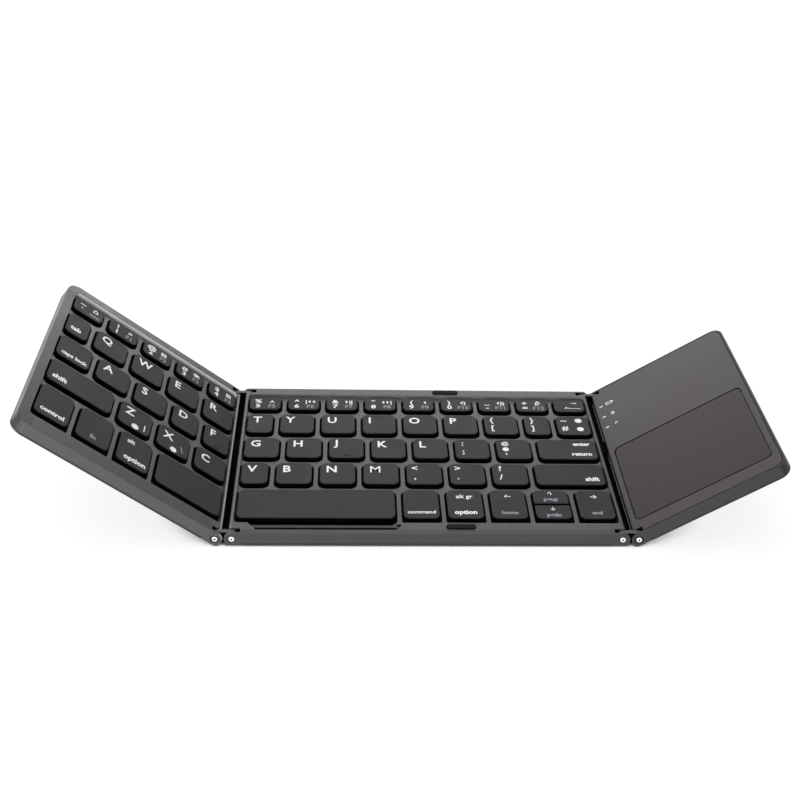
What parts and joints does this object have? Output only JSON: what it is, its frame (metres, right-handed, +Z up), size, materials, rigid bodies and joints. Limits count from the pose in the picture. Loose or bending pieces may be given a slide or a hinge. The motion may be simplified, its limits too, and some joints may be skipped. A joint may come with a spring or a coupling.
{
  "type": "folding keyboard",
  "caption": "Pocket keyboard with a touchpad in thin panels on double-pin hinges, so that both wings fold over the middle panel.",
  "frame": {"origin": "on the surface that the rubber feet stand on, below the middle of the keyboard in its drawn pose, with both wings part raised", "axes": "+X along the keyboard from the left wing to the right wing, +Y from the user's side to the rear, +Z up"},
  "size_m": [0.2794, 0.0986, 0.0576],
  "materials": {
    "frame_plastic": "fine satin texture, painted look",
    "base_metal": "dark bead-blasted anodising",
    "sheet_steel": "blackened rolled sheet",
    "membrane_film": "black printed film",
    "lever_plastic": "black moulded",
    "dome_rubber": "matt silicone",
    "screw_steel": "plain steel",
    "foot_rubber": "matt black",
    "magnet_nickel": "nickel plated",
    "pin_steel": "polished",
    "link_metal": "dark satin coating",
    "touch_surface": "smooth satin",
    "circuit_board": "green solder resist",
    "battery_foil": "dull foil",
    "socket_metal": "stamped steel",
    "light_lens": "milky",
    "flex_film": "black film",
    "key_plastic": "fine matt texture",
    "print_ink": "white printed signs"
  },
  "bodies": {
    "centre_panel": {"centre_bottom_plate": "base_metal", "centre_key_frame": "frame_plastic", "centre_support_plate": "sheet_steel", "centre_membrane": "membrane_film", "centre_scissors": "lever_plastic", "centre_domes": "dome_rubber", "centre_screws": "screw_steel", "centre_feet": "foot_rubber", "rim_bumpers": "foot_rubber"},
    "left_link": {"left_hinge_link": "link_metal", "left_hinge_pins": "pin_steel", "left_flex_cable": "flex_film"},
    "left_wing": {"left_bottom_plate": "base_metal", "left_key_frame": "frame_plastic", "left_support_plate": "sheet_steel", "left_membrane": "membrane_film", "left_scissors": "lever_plastic", "left_domes": "dome_rubber", "left_screws": "screw_steel", "left_feet": "foot_rubber", "left_magnet": "magnet_nickel"},
    "right_link": {"right_hinge_link": "link_metal", "right_hinge_pins": "pin_steel", "right_flex_cable": "flex_film"},
    "right_wing": {"right_bottom_plate": "base_metal", "right_frame": "frame_plastic", "right_cover": "frame_plastic", "touchpad_plate": "touch_surface", "touchpad_board": "circuit_board", "battery": "battery_foil", "main_board": "circuit_board", "charging_socket": "socket_metal", "indicator_lights": "light_lens", "right_screws": "screw_steel", "right_feet": "foot_rubber", "right_magnet": "magnet_nickel"},
    "keys_left_number_row": {"keys_left_number_row": "key_plastic"},
    "key_tab": {"key_tab": "key_plastic"},
    "keys_left_upper_row": {"keys_left_upper_row": "key_plastic"},
    "key_caps_lock": {"key_caps_lock": "key_plastic"},
    "keys_left_home_row": {"keys_left_home_row": "key_plastic"},
    "keys_left_home_narrow": {"keys_left_home_narrow": "key_plastic"},
    "key_left_shift": {"key_left_shift": "key_plastic"},
    "keys_left_lower_row": {"keys_left_lower_row": "key_plastic"},
    "keys_left_modifiers": {"keys_left_modifiers": "key_plastic"},
    "key_left_space": {"key_left_space": "key_plastic"},
    "keys_centre_number_row": {"keys_centre_number_row": "key_plastic"},
    "key_upper_narrow": {"key_upper_narrow": "key_plastic"},
    "keys_centre_upper_row": {"keys_centre_upper_row": "key_plastic"},
    "key_close_bracket": {"key_close_bracket": "key_plastic"},
    "key_screen_lock": {"key_screen_lock": "key_plastic"},
    "keys_centre_home_row": {"keys_centre_home_row": "key_plastic"},
    "key_enter": {"key_enter": "key_plastic"},
    "key_lower_narrow": {"key_lower_narrow": "key_plastic"},
    "keys_centre_lower_row": {"keys_centre_lower_row": "key_plastic"},
    "key_right_shift": {"key_right_shift": "key_plastic"},
    "key_space": {"key_space": "key_plastic"},
    "keys_centre_bottom_row": {"keys_centre_bottom_row": "key_plastic"},
    "key_arrow_up": {"key_arrow_up": "key_plastic"},
    "key_arrow_down": {"key_arrow_down": "key_plastic"}
  },
  "joints": [
    {"name": "fold_left_inner", "type": "hinge", "parent": "centre_panel", "child": "left_link", "pos_m": [-0.06544, 0, 0.0036], "axis": [0, 1, 0], "range_deg": [0, 90], "deforming": ["left_flex_cable"]},
    {"name": "fold_left_outer", "type": "hinge", "parent": "left_link", "child": "left_wing", "pos_m": [-0.07164, 0, 0.0036], "axis": [0, 1, 0], "range_deg": [-38, 52], "deforming": ["left_flex_cable"]},
    {"name": "fold_right_inner", "type": "hinge", "parent": "centre_panel", "child": "right_link", "pos_m": [0.08096, 0, 0.0036], "axis": [0, -1, 0], "range_deg": [0, 90], "deforming": ["right_flex_cable"]},
    {"name": "fold_right_outer", "type": "hinge", "parent": "right_link", "child": "right_wing", "pos_m": [0.08716, 0, 0.0036], "axis": [0, -1, 0], "range_deg": [-34, 56], "deforming": ["right_flex_cable"]},
    {"name": "key_left_number_row", "type": "slide", "parent": "left_wing", "child": "keys_left_number_row", "axis": [0.6157, 0, 0.788], "range_m": [-0.0012, 0], "stiffness_N_per_m": 300, "springref_m": 0.0008, "deforming": ["left_scissors", "left_domes"]},
    {"name": "key_tab", "type": "slide", "parent": "left_wing", "child": "key_tab", "axis": [0.6157, 0, 0.788], "range_m": [-0.0012, 0], "stiffness_N_per_m": 300, "springref_m": 0.0008, "deforming": ["left_scissors", "left_domes"]},
    {"name": "key_left_upper_row", "type": "slide", "parent": "left_wing", "child": "keys_left_upper_row", "axis": [0.6157, 0, 0.788], "range_m": [-0.0012, 0], "stiffness_N_per_m": 300, "springref_m": 0.0008, "deforming": ["left_scissors", "left_domes"]},
    {"name": "key_caps_lock", "type": "slide", "parent": "left_wing", "child": "key_caps_lock", "axis": [0.6157, 0, 0.788], "range_m": [-0.0012, 0], "stiffness_N_per_m": 300, "springref_m": 0.0008, "deforming": ["left_scissors", "left_domes"]},
    {"name": "key_left_home_row", "type": "slide", "parent": "left_wing", "child": "keys_left_home_row", "axis": [0.6157, 0, 0.788], "range_m": [-0.0012, 0], "stiffness_N_per_m": 300, "springref_m": 0.0008, "deforming": ["left_scissors", "left_domes"]},
    {"name": "key_left_home_narrow", "type": "slide", "parent": "left_wing", "child": "keys_left_home_narrow", "axis": [0.6157, 0, 0.788], "range_m": [-0.0012, 0], "stiffness_N_per_m": 300, "springref_m": 0.0008, "deforming": ["left_scissors", "left_domes"]},
    {"name": "key_left_shift", "type": "slide", "parent": "left_wing", "child": "key_left_shift", "axis": [0.6157, 0, 0.788], "range_m": [-0.0012, 0], "stiffness_N_per_m": 300, "springref_m": 0.0008, "deforming": ["left_scissors", "left_domes"]},
    {"name": "key_left_lower_row", "type": "slide", "parent": "left_wing", "child": "keys_left_lower_row", "axis": [0.6157, 0, 0.788], "range_m": [-0.0012, 0], "stiffness_N_per_m": 300, "springref_m": 0.0008, "deforming": ["left_scissors", "left_domes"]},
    {"name": "key_left_modifiers", "type": "slide", "parent": "left_wing", "child": "keys_left_modifiers", "axis": [0.6157, 0, 0.788], "range_m": [-0.0012, 0], "stiffness_N_per_m": 300, "springref_m": 0.0008, "deforming": ["left_scissors", "left_domes"]},
    {"name": "key_left_space", "type": "slide", "parent": "left_wing", "child": "key_left_space", "axis": [0.6157, 0, 0.788], "range_m": [-0.0012, 0], "stiffness_N_per_m": 300, "springref_m": 0.0008, "deforming": ["left_scissors", "left_domes"]},
    {"name": "key_centre_number_row", "type": "slide", "parent": "centre_panel", "child": "keys_centre_number_row", "axis": [0, 0, 1], "range_m": [-0.0012, 0], "stiffness_N_per_m": 300, "springref_m": 0.0008, "deforming": ["centre_scissors", "centre_domes"]},
    {"name": "key_upper_narrow", "type": "slide", "parent": "centre_panel", "child": "key_upper_narrow", "axis": [0, 0, 1], "range_m": [-0.0012, 0], "stiffness_N_per_m": 300, "springref_m": 0.0008, "deforming": ["centre_scissors", "centre_domes"]},
    {"name": "key_centre_upper_row", "type": "slide", "parent": "centre_panel", "child": "keys_centre_upper_row", "axis": [0, 0, 1], "range_m": [-0.0012, 0], "stiffness_N_per_m": 300, "springref_m": 0.0008, "deforming": ["centre_scissors", "centre_domes"]},
    {"name": "key_close_bracket", "type": "slide", "parent": "centre_panel", "child": "key_close_bracket", "axis": [0, 0, 1], "range_m": [-0.0012, 0], "stiffness_N_per_m": 300, "springref_m": 0.0008, "deforming": ["centre_scissors", "centre_domes"]},
    {"name": "key_screen_lock", "type": "slide", "parent": "centre_panel", "child": "key_screen_lock", "axis": [0, 0, 1], "range_m": [-0.0012, 0], "stiffness_N_per_m": 300, "springref_m": 0.0008, "deforming": ["centre_scissors", "centre_domes"]},
    {"name": "key_centre_home_row", "type": "slide", "parent": "centre_panel", "child": "keys_centre_home_row", "axis": [0, 0, 1], "range_m": [-0.0012, 0], "stiffness_N_per_m": 300, "springref_m": 0.0008, "deforming": ["centre_scissors", "centre_domes"]},
    {"name": "key_enter", "type": "slide", "parent": "centre_panel", "child": "key_enter", "axis": [0, 0, 1], "range_m": [-0.0012, 0], "stiffness_N_per_m": 300, "springref_m": 0.0008, "deforming": ["centre_scissors", "centre_domes"]},
    {"name": "key_lower_narrow", "type": "slide", "parent": "centre_panel", "child": "key_lower_narrow", "axis": [0, 0, 1], "range_m": [-0.0012, 0], "stiffness_N_per_m": 300, "springref_m": 0.0008, "deforming": ["centre_scissors", "centre_domes"]},
    {"name": "key_centre_lower_row", "type": "slide", "parent": "centre_panel", "child": "keys_centre_lower_row", "axis": [0, 0, 1], "range_m": [-0.0012, 0], "stiffness_N_per_m": 300, "springref_m": 0.0008, "deforming": ["centre_scissors", "centre_domes"]},
    {"name": "key_right_shift", "type": "slide", "parent": "centre_panel", "child": "key_right_shift", "axis": [0, 0, 1], "range_m": [-0.0012, 0], "stiffness_N_per_m": 300, "springref_m": 0.0008, "deforming": ["centre_scissors", "centre_domes"]},
    {"name": "key_space", "type": "slide", "parent": "centre_panel", "child": "key_space", "axis": [0, 0, 1], "range_m": [-0.0012, 0], "stiffness_N_per_m": 300, "springref_m": 0.0008, "deforming": ["centre_scissors", "centre_domes"]},
    {"name": "key_centre_bottom_row", "type": "slide", "parent": "centre_panel", "child": "keys_centre_bottom_row", "axis": [0, 0, 1], "range_m": [-0.0012, 0], "stiffness_N_per_m": 300, "springref_m": 0.0008, "deforming": ["centre_scissors", "centre_domes"]},
    {"name": "key_arrow_up", "type": "slide", "parent": "centre_panel", "child": "key_arrow_up", "axis": [0, 0, 1], "range_m": [-0.0012, 0], "stiffness_N_per_m": 300, "springref_m": 0.0008, "deforming": ["centre_scissors", "centre_domes"]},
    {"name": "key_arrow_down", "type": "slide", "parent": "centre_panel", "child": "key_arrow_down", "axis": [0, 0, 1], "range_m": [-0.0012, 0], "stiffness_N_per_m": 300, "springref_m": 0.0008, "deforming": ["centre_scissors", "centre_domes"]}
  ]
}
